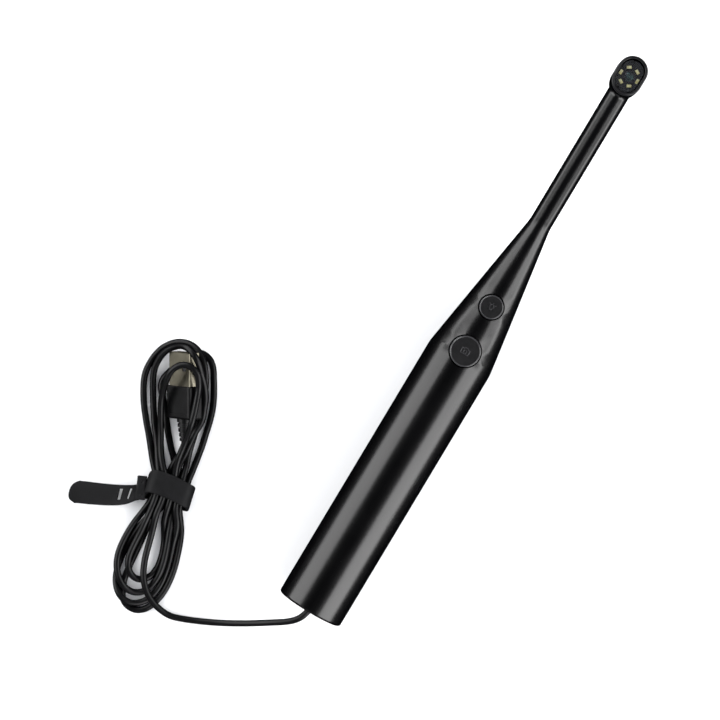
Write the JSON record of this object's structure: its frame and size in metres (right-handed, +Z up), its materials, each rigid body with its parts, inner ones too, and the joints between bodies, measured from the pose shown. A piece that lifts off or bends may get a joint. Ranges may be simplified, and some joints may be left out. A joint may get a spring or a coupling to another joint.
{
  "type": "intraoral camera",
  "caption": "Corded wand with a conical neck, push buttons and a right-angle oval head that holds a lens and a ring of lamps; its tied cable ends in a USB plug.",
  "frame": {"origin": "on the table, below the middle of the wand's length and on its axis", "axes": "+Y along the wand from its cable end to its head, +Z up through the buttons and the lens, +X to the right"},
  "size_m": [0.1099, 0.264, 0.0254],
  "materials": {
    "case_black": "satin",
    "button_grey": "matt",
    "bezel_grey": "satin",
    "window_glass": "polished",
    "lens_glass": "polished",
    "lens_black": "satin",
    "led_yellow": "gloss",
    "lamp_board": "gloss",
    "circuit_board": "satin",
    "chip_black": "matt",
    "ceramic_tan": "matt",
    "crystal_steel": "satin",
    "screw_steel": "satin",
    "connector_ivory": "matt",
    "flex_amber": "satin",
    "seal_black": "matt",
    "cable_black": "satin",
    "core_wires": "satin",
    "strap_black": "matt",
    "grip_black": "satin",
    "plug_steel": "satin",
    "plug_core": "matt",
    "contact_gold": "polished",
    "switch_grey": "matt",
    "plunger_white": "matt"
  },
  "bodies": {
    "camera": {"upper_shell": "case_black", "lower_shell": "case_black", "case_screws": "screw_steel", "switch_bodies": "switch_grey", "main_board": "circuit_board", "board_screws": "screw_steel", "processor_chip": "chip_black", "memory_chip": "chip_black", "crystal": "crystal_steel", "regulator": "chip_black", "capacitors": "ceramic_tan", "wire_socket": "connector_ivory", "wire_plug": "connector_ivory", "ribbon_socket": "connector_ivory", "ribbon_cable": "flex_amber", "sensor_board": "circuit_board", "image_sensor": "chip_black", "lens_holder": "lens_black", "lens_barrel": "lens_black", "front_lens": "lens_glass", "led_board": "lamp_board", "leds": "led_yellow", "window_gasket": "seal_black", "window": "window_glass", "head_bezel": "bezel_grey", "cable_grommet": "seal_black", "cable_tail": "cable_black", "cable_clamp": "switch_grey", "clamp_screws": "screw_steel", "inner_wires": "core_wires", "usb_shell": "plug_steel", "usb_insulator": "plug_core", "usb_contacts": "contact_gold", "usb_overmold": "grip_black", "cord_lead": "cable_black", "cord_hank": "cable_black", "cable_tie": "strap_black"},
    "capture": {"capture_button": "button_grey", "capture_plunger": "plunger_white"},
    "light": {"light_button": "button_grey", "light_plunger": "plunger_white"}
  },
  "joints": [
    {"name": "capture_press", "type": "slide", "parent": "camera", "child": "capture", "axis": [0, 0, -1], "range_m": [0, 0.0005], "stiffness_N_per_m": 2400, "springref_m": -0.0003},
    {"name": "light_press", "type": "slide", "parent": "camera", "child": "light", "axis": [0, 0, -1], "range_m": [0, 0.0005], "stiffness_N_per_m": 2400, "springref_m": -0.0003}
  ]
}
